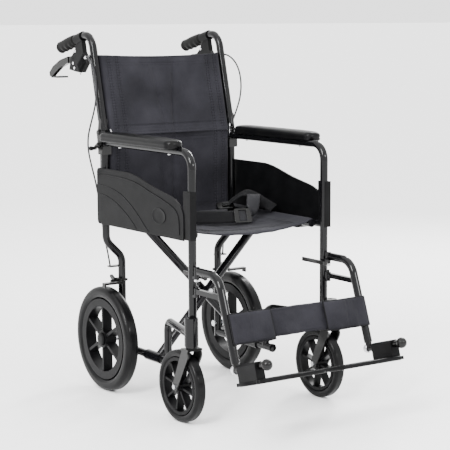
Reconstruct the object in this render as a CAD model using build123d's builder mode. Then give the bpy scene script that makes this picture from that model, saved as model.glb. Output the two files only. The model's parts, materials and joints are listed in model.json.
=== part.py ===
"""Folding transit wheelchair: cross-braced tube frame, half-folding back, swing-away footrests.

Frame of reference: +Z up, the chair faces -Y, +X is the sitter's left, the floor is Z = 0.
The left-hand pieces are drawn at +X, and the right-hand ones are their mirror images.
"""

import math
import os

from build123d import *

os.makedirs("parts", exist_ok=True)

# --- driving dimensions, mm and degrees -------------------------------------------------
TUBE_R = 11.0            # main frame tube
COPE = 0.1               # gap left where one tube is welded against another
RUN = 0.05               # radial running clearance of pins and shafts
SIDE_X = 219.0           # plane of the posts, armrests and canes
FRONT_Y = -184.0         # front post
REAR_Y = 270.0           # rear post and rear wheel axle
ARM_Z = 724.0            # armrest tube
ARM_BEND = 44.0
POST_TOP_Z = 739.0
POST_BOTTOM_Z = 222.0
LEG_X = 168.0            # rear leg and lower rail stand inboard of the posts
LEG_BEND = 40.0
LEG_BOTTOM_Z = 112.0
LOWER_Z = 124.0
LOWER_FRONT_Y = -8.0
SEAT_TUBE_Z = 503.0
RAIL_X = 196.0
RAIL_Z = 503.0
RAIL_YS = (-160.0, 248.0)
SADDLE_YS = (-95.0, 200.0)
BRACE_Y = 88.0
BRACE_R = 12.5
BRACE_SHIFT = 13.0       # each brace stands this far from the crossing plane
SLEEVE_R = 15.0
SLEEVE_YS = (56.0, 130.0)

STEM_X = 233.0           # caster stem, housing and wheel plane
STEM_Y = -198.0
HOUSING_R = 18.5
HOUSING_ZS = (214.0, 290.0)
RISER_Y = 22.0
STEP_Z = 240.0
STEM_R = 6.0
CASTER_R = 98.0
CASTER_TRAIL = 48.0
CASTER_HALF = 15.0
CASTER_RIM_R = 78.0
CASTER_SPOKES = 8
CROWN_ZS = (203.0, 209.0)

WHEEL_X = 221.0
WHEEL_R = 152.0
WHEEL_HALF = 20.0
WHEEL_RIM_R = 117.5
WHEEL_SPOKES = 6
AXLE_R = 6.0

HINGE_Z = 750.0          # half-fold hinge of the back
HINGE_BACK = 12.0        # its pin stands this far behind the post's centre line
PIN_R = 4.0
CANE_TILT = 13.66
CANE_CORNER = (339.0, 1033.0)
CANE_BEND = 42.0
HANDLE_LENGTH = 190.5
GRIP_START = 88.0
GRIP_R = 17.0

HANGER_PIN_Y = FRONT_Y - 21.0
HANGER_Z = 414.0
HANGER_CORNER_Y = -305.0
HANGER_BEND = 52.0
HANGER_SLOPE = 19.8      # the lower part leans this far from vertical
HANGER_END_Z = 200.0
HANGER_BAR_Z = 361.0
FOOT_R = 8.5
FOOT_TILT = 16.4         # hinge tube and footplate rise towards the toes
FOOT_START = (-376.0, 181.3)
BALL_R = 14.5
BALL_Y = -517.0
PLATE_EDGE_X = 24.0      # half of the gap between the two footplates
PLATE_DEPTH = 106.0

PAD_X = 231.0            # the pads stand a little outboard of their tubes
PAD_YS = (-131.0, 245.0)
PAD_HALF = 27.5
PAD_ZS = (728.0, 753.0)
PANEL_X = 232.2
PANEL_THICK = 4.0
BACK_Y = 253.0
BACK_TOP_Z = 970.0
CABLE_R = 2.5

CANE_UP = (math.sin(math.radians(CANE_TILT)), math.cos(math.radians(CANE_TILT)))
HANDLE_BACK = (CANE_UP[1], -CANE_UP[0])
HINGE_Y = REAR_Y + HINGE_BACK
CASTER_Y = STEM_Y + CASTER_TRAIL


# --- shape helpers, all used inside a BuildPart block -----------------------------------
def rod(start, end, radius, mode=Mode.ADD):
    """A round bar from one point to another."""
    reach = Vector(*end) - Vector(*start)
    with BuildSketch(Plane(origin=start, z_dir=reach)) as section:
        Circle(radius)
    extrude(section.sketch, amount=reach.length, mode=mode)


def bent_tube(points, radius, bends, mode=Mode.ADD):
    """A round bar along straight runs that are joined by tangent arcs."""
    with BuildLine() as route:
        FilletPolyline(*points, radius=bends)
    first_run = Vector(*points[1]) - Vector(*points[0])
    with BuildSketch(Plane(origin=points[0], z_dir=first_run)) as section:
        Circle(radius)
    sweep(section.sketch, path=route.line, mode=mode)


def side_plate(outline, x_low, x_high, mode=Mode.ADD):
    """A flat plate in the YZ plane between two X values, its outline a list of (y, z)."""
    with BuildSketch(Plane.YZ.offset(x_low)) as face:
        with BuildLine():
            Polyline(*outline, close=True)
        make_face()
    extrude(face.sketch, amount=x_high - x_low, mode=mode)


def side_link(circles, x_low, x_high, mode=Mode.ADD):
    """A link plate in the YZ plane, the hull of circles given as (y, z, radius)."""
    with BuildSketch(Plane.YZ.offset(x_low)) as face:
        for y, z, radius in circles:
            with Locations((y, z)):
                Circle(radius)
        make_hull()
    extrude(face.sketch, amount=x_high - x_low, mode=mode)


def block(xs, ys, zs, mode=Mode.ADD):
    """A box between pairs of X, Y and Z values."""
    with BuildSketch(Plane.XY.offset(zs[0])) as base:
        with Locations(((xs[0] + xs[1]) / 2, (ys[0] + ys[1]) / 2)):
            Rectangle(xs[1] - xs[0], ys[1] - ys[0])
    extrude(base.sketch, amount=zs[1] - zs[0], mode=mode)


def export(piece, name):
    """Label a finished piece and write its STEP file."""
    piece.part.label = name
    export_step(piece.part, f"parts/{name}.step")


def export_pair(piece, name):
    """Write a left-hand piece and its right-hand mirror image."""
    export(piece, f"left_{name}")
    with BuildPart() as twin:
        mirror(piece.part, about=Plane.YZ)
    export(twin, f"right_{name}")


def on_handle(along, below=0.0):
    """The (y, z) of a point on the push handle, measured from the cane's corner."""
    y = CANE_CORNER[0] + along * HANDLE_BACK[0] - below * CANE_UP[0]
    z = CANE_CORNER[1] + along * HANDLE_BACK[1] - below * CANE_UP[1]
    return y, z


# --- side frame ---------------------------------------------------------------------------
rear_post = ((SIDE_X, REAR_Y, 400), (SIDE_X, REAR_Y, 800), TUBE_R + COPE)
front_post = ((SIDE_X, FRONT_Y, 200), (SIDE_X, FRONT_Y, 650), TUBE_R + COPE)
rear_leg = ((LEG_X, REAR_Y, 80), (LEG_X, REAR_Y, 360), TUBE_R + COPE)

# armrest tube and front post, one bent tube, with two lugs and pins for the footrest hanger
LUG_DROP = 7.0
PIN_REACH = 25.0
with BuildPart() as front_frame:
    bent_tube(
        [(SIDE_X, REAR_Y, ARM_Z), (SIDE_X, FRONT_Y, ARM_Z), (SIDE_X, FRONT_Y, POST_BOTTOM_Z)],
        TUBE_R,
        ARM_BEND,
    )
    rod(*rear_post, mode=Mode.SUBTRACT)
    rod(
        (STEM_X, STEM_Y, HOUSING_ZS[0] - COPE),
        (STEM_X, STEM_Y, HOUSING_ZS[1] + COPE),
        HOUSING_R + COPE,
        mode=Mode.SUBTRACT,
    )
    for eye_bottom in (HANGER_Z - 13, HANGER_BAR_Z - 10):
        lug_zs = (eye_bottom - LUG_DROP, eye_bottom - 0.3)
        block((SIDE_X - 7, SIDE_X + 7), (HANGER_PIN_Y, FRONT_Y - 4), lug_zs)
        rod((SIDE_X, HANGER_PIN_Y, lug_zs[0]), (SIDE_X, HANGER_PIN_Y, lug_zs[1]), 7.0)
        rod(
            (SIDE_X, HANGER_PIN_Y, lug_zs[0]),
            (SIDE_X, HANGER_PIN_Y, lug_zs[1] + PIN_REACH),
            PIN_R,
        )
export_pair(front_frame, "front_frame")

# rear post that steps inboard below the seat and runs down to the axle
BRAKE_PIVOT_Z = 319.0
CABLE_STOP_ZS = (358.0, 362.0)
CABLE_END = (198.0, 287.0)
with BuildPart() as rear_frame:
    bent_tube(
        [
            (SIDE_X, REAR_Y, POST_TOP_Z),
            (SIDE_X, REAR_Y, 438),
            (LEG_X, REAR_Y, 388),
            (LEG_X, REAR_Y, LEG_BOTTOM_Z),
        ],
        TUBE_R,
        LEG_BEND,
    )
    rod((LEG_X - 20, REAR_Y, WHEEL_R), (LEG_X + 20, REAR_Y, WHEEL_R), AXLE_R + RUN, mode=Mode.SUBTRACT)
    rod((LEG_X - 17, REAR_Y, BRAKE_PIVOT_Z), (206, REAR_Y, BRAKE_PIVOT_Z), PIN_R)
    block((LEG_X, CABLE_END[0] + 6), (REAR_Y + 4, CABLE_END[1] + 5), CABLE_STOP_ZS)
    rod((*CABLE_END, 350), (*CABLE_END, 370), 1.5, mode=Mode.SUBTRACT)
export_pair(rear_frame, "rear_frame")

# lower rail, riser, step tube and the caster housing at its front end, welded together
with BuildPart() as lower_frame:
    rod((LEG_X, REAR_Y, LOWER_Z), (LEG_X, LOWER_FRONT_Y, LOWER_Z), TUBE_R)
    rod(*rear_leg, mode=Mode.SUBTRACT)
    rod((LEG_X, LOWER_FRONT_Y, LOWER_Z), (LEG_X, LOWER_FRONT_Y - 6, LOWER_Z), TUBE_R + 1.2)
    bent_tube(
        [
            (LEG_X, RISER_Y, LOWER_Z),
            (LEG_X, RISER_Y, STEP_Z),
            (STEM_X, STEM_Y, STEP_Z + 2),
        ],
        TUBE_R,
        32,
    )
    rod(*front_post, mode=Mode.SUBTRACT)
    rod((STEM_X, STEM_Y, HOUSING_ZS[0]), (STEM_X, STEM_Y, HOUSING_ZS[1]), HOUSING_R)
    rod((STEM_X, STEM_Y, 200), (STEM_X, STEM_Y, 300), STEM_R + RUN, mode=Mode.SUBTRACT)
export_pair(lower_frame, "lower_frame")

# level tube at seat height between the two posts
with BuildPart() as seat_tube:
    rod((SIDE_X, FRONT_Y, SEAT_TUBE_Z), (SIDE_X, REAR_Y, SEAT_TUBE_Z), TUBE_R)
    rod(*rear_post, mode=Mode.SUBTRACT)
    rod(*front_post, mode=Mode.SUBTRACT)
export_pair(seat_tube, "seat_tube")

# two plastic saddles on the seat tube, which the seat rail drops into when the chair is open
SADDLE_HALF = 15.0
with BuildPart() as saddles:
    for y in SADDLE_YS:
        with BuildSketch(Plane.XZ.offset(-(y + SADDLE_HALF))) as section:
            with Locations((199, 495)):
                RectangleRounded(40, 17, 3)
            with Locations((SIDE_X, SEAT_TUBE_Z)):
                Circle(TUBE_R + COPE, mode=Mode.SUBTRACT)
            with Locations((RAIL_X, RAIL_Z)):
                Circle(TUBE_R + 0.6, mode=Mode.SUBTRACT)
        extrude(section.sketch, amount=2 * SADDLE_HALF)
export_pair(saddles, "rail_saddles")


# --- cross braces --------------------------------------------------------------------------
def brace(foot_side, brace_y):
    """A brace tube with its pivot sleeve on one lower rail and the seat rail at its top."""
    foot = (foot_side * LEG_X, brace_y, LOWER_Z)
    top = (-foot_side * RAIL_X, brace_y, RAIL_Z)
    crossing_z = LOWER_Z + (RAIL_Z - LOWER_Z) * LEG_X / (LEG_X + RAIL_X)
    with BuildPart() as piece:
        rod(foot, top, BRACE_R)
        rod((foot[0], SLEEVE_YS[0], LOWER_Z), (foot[0], SLEEVE_YS[1], LOWER_Z), SLEEVE_R)
        rod((top[0], RAIL_YS[0], RAIL_Z), (top[0], RAIL_YS[1], RAIL_Z), TUBE_R)
        rod((foot[0], 0, LOWER_Z), (foot[0], 200, LOWER_Z), TUBE_R + 0.06, mode=Mode.SUBTRACT)
        rod((0, 0, crossing_z), (0, 200, crossing_z), PIN_R + RUN, mode=Mode.SUBTRACT)
    return piece, crossing_z


front_brace, CROSSING_Z = brace(-1, BRACE_Y - BRACE_SHIFT)
export(front_brace, "front_brace")
rear_brace, CROSSING_Z = brace(1, BRACE_Y + BRACE_SHIFT)
export(rear_brace, "rear_brace")

# bolt that holds the two braces together where they cross
BOLT_REACH = BRACE_SHIFT + BRACE_R + 0.5
with BuildPart() as brace_bolt:
    rod((0, BRACE_Y - BOLT_REACH, CROSSING_Z), (0, BRACE_Y + BOLT_REACH, CROSSING_Z), PIN_R)
    for end_y in (BRACE_Y - BOLT_REACH, BRACE_Y + BOLT_REACH + 5):
        with BuildSketch(Plane.XZ.offset(-end_y)) as head:
            with Locations((0, CROSSING_Z)):
                RegularPolygon(8, 6)
        extrude(head.sketch, amount=5)
export(brace_bolt, "brace_bolt")


# --- casters ---------------------------------------------------------------------------------
with BuildPart() as caster_fork:
    block((STEM_X - 23, STEM_X + 23), (STEM_Y - 17, STEM_Y + 17), CROWN_ZS)
    for blade_x in (STEM_X - 23, STEM_X + 18):
        side_link([(STEM_Y, 192, 17), (CASTER_Y, CASTER_R, 12)], blade_x, blade_x + 5)
    rod((STEM_X, STEM_Y, CROWN_ZS[0]), (STEM_X, STEM_Y, HOUSING_ZS[0] - 0.3), 15.0)
    rod((STEM_X, STEM_Y, CROWN_ZS[0]), (STEM_X, STEM_Y, 286), STEM_R)
    rod(
        (STEM_X - 40, CASTER_Y, CASTER_R),
        (STEM_X + 40, CASTER_Y, CASTER_R),
        PIN_R + RUN,
        mode=Mode.SUBTRACT,
    )
export_pair(caster_fork, "caster_fork")

with BuildPart() as caster_axle:
    rod((STEM_X - 23, CASTER_Y, CASTER_R), (STEM_X + 23, CASTER_Y, CASTER_R), PIN_R)
    for head_x in (STEM_X - 27.5, STEM_X + 23):
        with BuildSketch(Plane.YZ.offset(head_x)) as head:
            with Locations((CASTER_Y, CASTER_R)):
                RegularPolygon(7, 6)
        extrude(head.sketch, amount=4.5)
export_pair(caster_axle, "caster_axle")


def spoked_wheel(x, y, z, hub, rim, spoke, count, first_angle):
    """Hub, board spokes and rim about an X axis: hub and rim as radii and half widths."""
    with BuildSketch(Plane.YZ.offset(x)) as hub_face:
        with Locations((y, z)):
            Circle(hub[0])
    extrude(hub_face.sketch, amount=hub[1], both=True)
    with BuildSketch(Plane.YZ.offset(x)) as rim_face:
        with Locations((y, z)):
            Circle(rim[0])
            Circle(rim[1], mode=Mode.SUBTRACT)
    extrude(rim_face.sketch, amount=rim[2], both=True)
    span = rim[1] - hub[0] + 4
    with BuildSketch(Plane.YZ.offset(x)) as spoke_face:
        with Locations((y, z)):
            with PolarLocations(hub[0] + span / 2 - 2, count, start_angle=first_angle):
                Rectangle(span, spoke[0])
    extrude(spoke_face.sketch, amount=spoke[1], both=True)


def tyre_ring(x, y, z, inner, outer, half_width, rounding):
    """A solid tyre: a rounded section turned about an X axis."""
    with BuildSketch(Plane.XZ.offset(-y)) as section:
        with Locations((x, z + (inner + outer) / 2)):
            RectangleRounded(2 * half_width, outer - inner, rounding)
    revolve(section.sketch, axis=Axis((x, y, z), (1, 0, 0)))


with BuildPart() as caster_wheel:
    spoked_wheel(
        STEM_X, CASTER_Y, CASTER_R, (15, 17), (CASTER_RIM_R, 69, 13), (6, 11), CASTER_SPOKES, 10
    )
    rod(
        (STEM_X - 20, CASTER_Y, CASTER_R),
        (STEM_X + 20, CASTER_Y, CASTER_R),
        PIN_R + 0.08,
        mode=Mode.SUBTRACT,
    )
export_pair(caster_wheel, "caster_wheel")

with BuildPart() as caster_tyre:
    tyre_ring(STEM_X, CASTER_Y, CASTER_R, CASTER_RIM_R + COPE, CASTER_R, CASTER_HALF, 8.5)
export_pair(caster_tyre, "caster_tyre")


# --- rear wheels ------------------------------------------------------------------------------
with BuildPart() as rear_wheel:
    spoked_wheel(
        WHEEL_X, REAR_Y, WHEEL_R, (25, 17), (WHEEL_RIM_R, 94.5, 17), (8, 15), WHEEL_SPOKES, 90
    )
    rod((WHEEL_X - 21.5, REAR_Y, WHEEL_R), (WHEEL_X, REAR_Y, WHEEL_R), 17.0)
    rod((WHEEL_X, REAR_Y, WHEEL_R), (WHEEL_X + 21.5, REAR_Y, WHEEL_R), 19.0)
    rod((WHEEL_X - 30, REAR_Y, WHEEL_R), (WHEEL_X + 16, REAR_Y, WHEEL_R), AXLE_R + 0.06, mode=Mode.SUBTRACT)
export_pair(rear_wheel, "rear_wheel")

with BuildPart() as rear_tyre:
    tyre_ring(WHEEL_X, REAR_Y, WHEEL_R, WHEEL_RIM_R + COPE, WHEEL_R, WHEEL_HALF, 14)
export_pair(rear_tyre, "rear_tyre")

with BuildPart() as rear_axle:
    rod((LEG_X - 12, REAR_Y, WHEEL_R), (WHEEL_X + 15, REAR_Y, WHEEL_R), AXLE_R)
    rod((LEG_X + TUBE_R + COPE, REAR_Y, WHEEL_R), (WHEEL_X - 21.8, REAR_Y, WHEEL_R), 10)
    with BuildSketch(Plane.YZ.offset(LEG_X - 17.5)) as head:
        with Locations((REAR_Y, WHEEL_R)):
            RegularPolygon(10, 6)
    extrude(head.sketch, amount=6)
export_pair(rear_axle, "rear_axle")


# --- half-folding back ----------------------------------------------------------------------
COLLAR_ZS = (688.0, 711.0)
EAR_IN = 11.3
EAR_OUT = 14.3
RELEASE_YZ = (268.0, 719.0)
with BuildPart() as cane_hinge:
    block((SIDE_X - EAR_OUT, SIDE_X + EAR_OUT), (REAR_Y - 13, REAR_Y + 14), COLLAR_ZS)
    for ear_x in (SIDE_X - EAR_OUT, SIDE_X + EAR_IN):
        ear = [(HINGE_Y, HINGE_Z, 9), (REAR_Y - 5, 700, 6), (REAR_Y + 8, 698, 6)]
        side_link(ear, ear_x, ear_x + EAR_OUT - EAR_IN)
    rod(*rear_post, mode=Mode.SUBTRACT)
    rod((SIDE_X - 16, HINGE_Y, HINGE_Z), (SIDE_X + 16, HINGE_Y, HINGE_Z), PIN_R)
    for head_x in (SIDE_X - 16.8, SIDE_X + EAR_OUT):
        rod((head_x, HINGE_Y, HINGE_Z), (head_x + 2.5, HINGE_Y, HINGE_Z), 6.5)
    rod((SIDE_X + 12, *RELEASE_YZ), (SIDE_X + 25.5, *RELEASE_YZ), 3)
export_pair(cane_hinge, "cane_hinge")

with BuildPart() as cane:
    start = (SIDE_X, REAR_Y + 6 * CANE_UP[0], HINGE_Z + 6 * CANE_UP[1])
    bent_tube(
        [start, (SIDE_X, *CANE_CORNER), (SIDE_X, *on_handle(HANDLE_LENGTH))],
        TUBE_R,
        CANE_BEND,
    )
    side_link(
        [(HINGE_Y, HINGE_Z, 9), (REAR_Y + 34 * CANE_UP[0], HINGE_Z + 34 * CANE_UP[1], 8)],
        SIDE_X - 10.8,
        SIDE_X + 10.8,
    )
    rod((SIDE_X - 20, HINGE_Y, HINGE_Z), (SIDE_X + 20, HINGE_Y, HINGE_Z), PIN_R + RUN, mode=Mode.SUBTRACT)
export_pair(cane, "cane")

with BuildPart() as back_release:
    side_link([(*RELEASE_YZ, 7), (294, 705, 5)], SIDE_X + 17, SIDE_X + 22)
    rod((SIDE_X + 15, 294, 705), (SIDE_X + 27, 294, 705), 5)
    rod((SIDE_X + 10, *RELEASE_YZ), (SIDE_X + 30, *RELEASE_YZ), 3 + RUN, mode=Mode.SUBTRACT)
export_pair(back_release, "back_release")

# rubber grip with finger grooves along its underside
with BuildPart() as hand_grip:
    rod((SIDE_X, *on_handle(GRIP_START)), (SIDE_X, *on_handle(HANDLE_LENGTH + 4)), GRIP_R)
    rod(
        (SIDE_X, *on_handle(GRIP_START - 1)),
        (SIDE_X, *on_handle(HANDLE_LENGTH + 0.2)),
        TUBE_R + COPE,
        mode=Mode.SUBTRACT,
    )
    for groove in range(4):
        y, z = on_handle(GRIP_START + 20 + 22 * groove, below=GRIP_R + 7.0)
        rod((SIDE_X - 20, y, z), (SIDE_X + 20, y, z), 10, mode=Mode.SUBTRACT)
export_pair(hand_grip, "hand_grip")

# brake bracket clamped to the handle, with the lever's pin and the cable's barrel
LEVER_YZ = (440.0, 957.0)
BRACKET_HALF = 7.0
with BuildPart() as brake_bracket:
    rod((SIDE_X, *on_handle(46)), (SIDE_X, *on_handle(GRIP_START - 0.5)), 15.0)
    side_plate(
        [
            (384, 1010),
            (413, 1000),
            (430, 978),
            (453, 957),
            (460, 925),
            (416, 919),
            (386, 918),
            (352, 952),
            (376, 976),
        ],
        SIDE_X - BRACKET_HALF,
        SIDE_X + BRACKET_HALF,
    )
    rod(
        (SIDE_X, *on_handle(40)),
        (SIDE_X, *on_handle(GRIP_START + 5)),
        TUBE_R + COPE,
        mode=Mode.SUBTRACT,
    )
    side_link([(*LEVER_YZ, 12.5), (475, 948, 20)], SIDE_X - 4, SIDE_X + 4, mode=Mode.SUBTRACT)
    rod((SIDE_X - 8, *LEVER_YZ), (SIDE_X + 8, *LEVER_YZ), 3)
    rod((SIDE_X + 6, 366, 961), (SIDE_X + 7.8, 346.8, 963.8), 4.5)
export_pair(brake_bracket, "brake_bracket")

with BuildPart() as brake_lever:
    side_link([(*LEVER_YZ, 10), (476, 951, 9)], SIDE_X - 3.5, SIDE_X + 3.5)
    side_plate(
        [
            (470, 963),
            (520, 952),
            (566, 932),
            (588, 914),
            (586, 903),
            (574, 900),
            (558, 910),
            (520, 930),
            (470, 944),
        ],
        SIDE_X - 6,
        SIDE_X + 6,
    )
    block((SIDE_X - 34, SIDE_X + 4), (544, 580), (898, 903))
    rod((SIDE_X - 8, *LEVER_YZ), (SIDE_X + 8, *LEVER_YZ), 3 + RUN, mode=Mode.SUBTRACT)
export_pair(brake_lever, "brake_lever")

# brake arm on the rear leg: a crank with a bar that lies across the top of the tyre
BAR_Y = 240.0
BAR_ZS = (315.0, 321.0)
with BuildPart() as tyre_brake:
    rod((181, REAR_Y, BRAKE_PIVOT_Z), (199, REAR_Y, BRAKE_PIVOT_Z), 9)
    side_link([(REAR_Y, BRAKE_PIVOT_Z, 9), (BAR_Y + 1, 321, 6)], 182, 189)
    side_link([(REAR_Y, BRAKE_PIVOT_Z, 7), (CABLE_END[1] + 1, 330, 5)], 190, 196)
    block((182, 247), (BAR_Y - 8, BAR_Y + 8), BAR_ZS)
    block((243, 247), (BAR_Y - 8, BAR_Y + 8), (307, BAR_ZS[1]))
    rod((170, REAR_Y, BRAKE_PIVOT_Z), (210, REAR_Y, BRAKE_PIVOT_Z), PIN_R + RUN, mode=Mode.SUBTRACT)
export_pair(tyre_brake, "tyre_brake")


# --- brake cables ----------------------------------------------------------------------------
def cable_bends(points):
    """An arc radius for each corner: 0.45 of the shorter run over the half turn's tangent."""
    radii = []
    for before, corner, after in zip(points, points[1:], points[2:]):
        run_in = Vector(*corner) - Vector(*before)
        run_out = Vector(*after) - Vector(*corner)
        half_turn = math.radians(run_in.get_angle(run_out)) / 2
        radii.append(0.45 * min(run_in.length, run_out.length) / math.tan(half_turn))
    return radii


# points along each cable's real route, chosen by hand, as |x|, y, z
LOWER_CABLE = [
    (236, 298, 612),
    (226, 297, 560),
    (219, 295, 505),
    (213, 294, 450),
    (203, 290, 402),
    (198, 287, 362.3),
]
RIGHT_CABLE = [
    (226.8, 345.4, 964),
    (237, 326, 965.5),
    (248, 303, 958),
    (243, 290, 938),
    (236, 287, 908),
    (235, 286, 872),
    (237, 286, 838),
    (244, 287, 806),
    (254, 289, 772),
    (261, 293, 736),
    (258, 297, 697),
    (247, 299, 654),
    *LOWER_CABLE,
]
LEFT_CABLE = [
    (226.8, 345.5, 964),
    (235, 319, 967),
    (257, 304, 946),
    (272, 300, 914),
    (278, 299, 874),
    (274, 299, 834),
    (262, 301, 797),
    (251, 308, 762),
    (247, 312, 722),
    (245, 310, 684),
    (241, 303, 648),
    *LOWER_CABLE,
]
for cable_name, side, points in (("right", -1, RIGHT_CABLE), ("left", 1, LEFT_CABLE)):
    route_points = [(side * x, y, z) for x, y, z in points]
    bends = cable_bends(route_points)
    with BuildPart() as cable:
        with BuildLine() as route:
            FilletPolyline(*route_points, radius=bends)
        cable_path = route.wire()
        with BuildSketch(Plane(origin=cable_path @ 0, z_dir=cable_path % 0)) as section:
            Circle(CABLE_R)
        sweep(section.sketch, path=cable_path)
    export(cable, f"{cable_name}_brake_cable")
    expected = cable_path.length * math.pi * CABLE_R**2
    print(cable_name, "cable length", round(cable_path.length), "radii", [round(r) for r in bends])
    print("  volume over section x length", round(cable.part.volume / expected, 4))


# --- armrest pad and side panel -----------------------------------------------------------
with BuildPart() as arm_pad:
    with BuildSketch(Plane.XY.offset(PAD_ZS[0])) as pad_outline:
        with Locations((PAD_X, sum(PAD_YS) / 2)):
            RectangleRounded(2 * PAD_HALF, PAD_YS[1] - PAD_YS[0], 22)
    extrude(amount=PAD_ZS[1] - PAD_ZS[0])
    fillet(arm_pad.faces().sort_by(Axis.Z)[-1].edges(), 10)
    fillet(arm_pad.faces().sort_by(Axis.Z)[0].edges(), 5)
    rod((SIDE_X, -200, ARM_Z), (SIDE_X, 300, ARM_Z), TUBE_R + COPE, mode=Mode.SUBTRACT)
export_pair(arm_pad, "arm_pad")

with BuildPart() as side_panel:
    with BuildSketch(Plane.YZ.offset(PANEL_X)) as panel_face:
        with BuildLine():
            Polyline((127, 650), (288, 650), (288, 489), (-168, 491), (-168, 548))
            Spline((-168, 548), (-160, 574), (-138, 592), (-80, 609), (-5, 624), (60, 641), (127, 650))
        make_face()
    extrude(amount=PANEL_THICK)
    fillet(side_panel.edges().filter_by(Axis.X).group_by(Axis.Y)[-1], 12)
    with BuildSketch(Plane.YZ.offset(PANEL_X + PANEL_THICK)) as recess:
        with Locations((-47, 545)):
            Circle(22)
    extrude(amount=-1.2, mode=Mode.SUBTRACT)
    block((SIDE_X - 5, PANEL_X + 1.5), (FRONT_Y - 12.5, FRONT_Y + 20), (494, 622))
    rod(*front_post, mode=Mode.SUBTRACT)
    rod((SIDE_X, FRONT_Y, SEAT_TUBE_Z), (SIDE_X, 300, SEAT_TUBE_Z), TUBE_R + COPE, mode=Mode.SUBTRACT)
export_pair(side_panel, "side_panel")


# --- footrest hanger ------------------------------------------------------------------------
lean = math.radians(HANGER_SLOPE)
HANGER_DOWN = (-math.sin(lean), -math.cos(lean))
hanger_drop = (HANGER_Z - HANGER_END_Z) / math.cos(lean)
HANGER_END = (HANGER_CORNER_Y + hanger_drop * HANGER_DOWN[0], HANGER_END_Z)
BORE_DEPTH = 150.0
LATCH_YZ = (-216.0, 401.0)
LATCH_X = 200.0


def down_hanger(along):
    """The (y, z) of a point on the hanger's sloping part, measured from its open end."""
    return HANGER_END[0] + along * HANGER_DOWN[0], HANGER_END[1] + along * HANGER_DOWN[1]


with BuildPart() as hanger:
    bent_tube(
        [(SIDE_X, HANGER_PIN_Y - 14, HANGER_Z), (SIDE_X, HANGER_CORNER_Y, HANGER_Z), (SIDE_X, *HANGER_END)],
        TUBE_R,
        HANGER_BEND,
    )
    for eye_z, half in ((HANGER_Z, 13), (HANGER_BAR_Z, 10)):
        rod((SIDE_X, HANGER_PIN_Y, eye_z - half), (SIDE_X, HANGER_PIN_Y, eye_z + half - 2), 8)
    block((SIDE_X - 6, SIDE_X + 6), (HANGER_PIN_Y - 20, HANGER_PIN_Y), (HANGER_Z - 8, HANGER_Z + 8))
    bar_reach = HANGER_CORNER_Y + (HANGER_Z - HANGER_BAR_Z) * HANGER_DOWN[0] / -HANGER_DOWN[1]
    block(
        (SIDE_X - 6, SIDE_X + 6),
        (bar_reach, HANGER_PIN_Y),
        (HANGER_BAR_Z - 7, HANGER_BAR_Z + 6),
    )
    for eye_z in (HANGER_Z, HANGER_BAR_Z):
        rod((SIDE_X, HANGER_PIN_Y, eye_z - 20), (SIDE_X, HANGER_PIN_Y, eye_z + 20), PIN_R + RUN, mode=Mode.SUBTRACT)
    rod((SIDE_X, *down_hanger(-BORE_DEPTH)), (SIDE_X, *down_hanger(5)), FOOT_R + 0.06, mode=Mode.SUBTRACT)
    block((LATCH_X - 5, SIDE_X - 6), (LATCH_YZ[0] - 6, LATCH_YZ[0] + 6), (402.3, 409))
    rod((LATCH_X, LATCH_YZ[0], 389), (LATCH_X, LATCH_YZ[0], 405), 3)
export_pair(hanger, "hanger")

# latch bar that hooks the hanger to the front post and is pushed inboard to let it swing
with BuildPart() as hanger_latch:
    rod((LATCH_X, LATCH_YZ[0], 391), (LATCH_X, LATCH_YZ[0], 402), 6)
    block((LATCH_X - 2, LATCH_X + 2), (LATCH_YZ[0], -112), (391, 402))
    rod((LATCH_X, LATCH_YZ[0], 380), (LATCH_X, LATCH_YZ[0], 410), 3 + RUN, mode=Mode.SUBTRACT)
export_pair(hanger_latch, "hanger_latch")

tilt = math.radians(FOOT_TILT)
FOOT_FORWARD = (-math.cos(tilt), math.sin(tilt))
BALL_AT = (BALL_Y, FOOT_START[1] + (FOOT_START[0] - BALL_Y) * math.tan(tilt))
with BuildPart() as footrest_tube:
    rod((SIDE_X, *down_hanger(-BORE_DEPTH + 6)), (SIDE_X, *down_hanger(16)), FOOT_R)
    rod((SIDE_X, *FOOT_START), (SIDE_X, *BALL_AT), FOOT_R)
    with Locations((SIDE_X, *BALL_AT)):
        Sphere(BALL_R)
export_pair(footrest_tube, "footrest_tube")

# footplate: a bored block on the hinge tube with the plate below it, drawn across the tube
PLATE_MID_Y = -448.0
PLATE_MID = (PLATE_MID_Y, FOOT_START[1] + (FOOT_START[0] - PLATE_MID_Y) * math.tan(tilt))
PLATE_TOP = -34.0
PLATE_LOW = -43.0
WEB_HALF = 41.0
across_tube = Plane(origin=(SIDE_X, *PLATE_MID), x_dir=(1, 0, 0), z_dir=(0, *FOOT_FORWARD))
with BuildPart() as footplate:
    with BuildSketch(across_tube) as web_section:
        with BuildLine():
            Polyline((-12, 6), (-6, 12), (9, 12), (15, 6), (15, PLATE_LOW), (-12, PLATE_LOW), close=True)
        make_face()
        Circle(FOOT_R + 0.06, mode=Mode.SUBTRACT)
    extrude(web_section.sketch, amount=WEB_HALF, both=True)
    with BuildSketch(across_tube) as plate_section:
        inner = PLATE_EDGE_X - SIDE_X
        with BuildLine():
            Polyline(
                (inner, PLATE_TOP),
                (15, PLATE_TOP),
                (15, PLATE_LOW),
                (inner + 25, PLATE_LOW),
                (inner, PLATE_TOP - 3),
                close=True,
            )
        make_face()
    extrude(plate_section.sketch, amount=PLATE_DEPTH / 2, both=True)
export_pair(footplate, "footplate")


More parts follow.
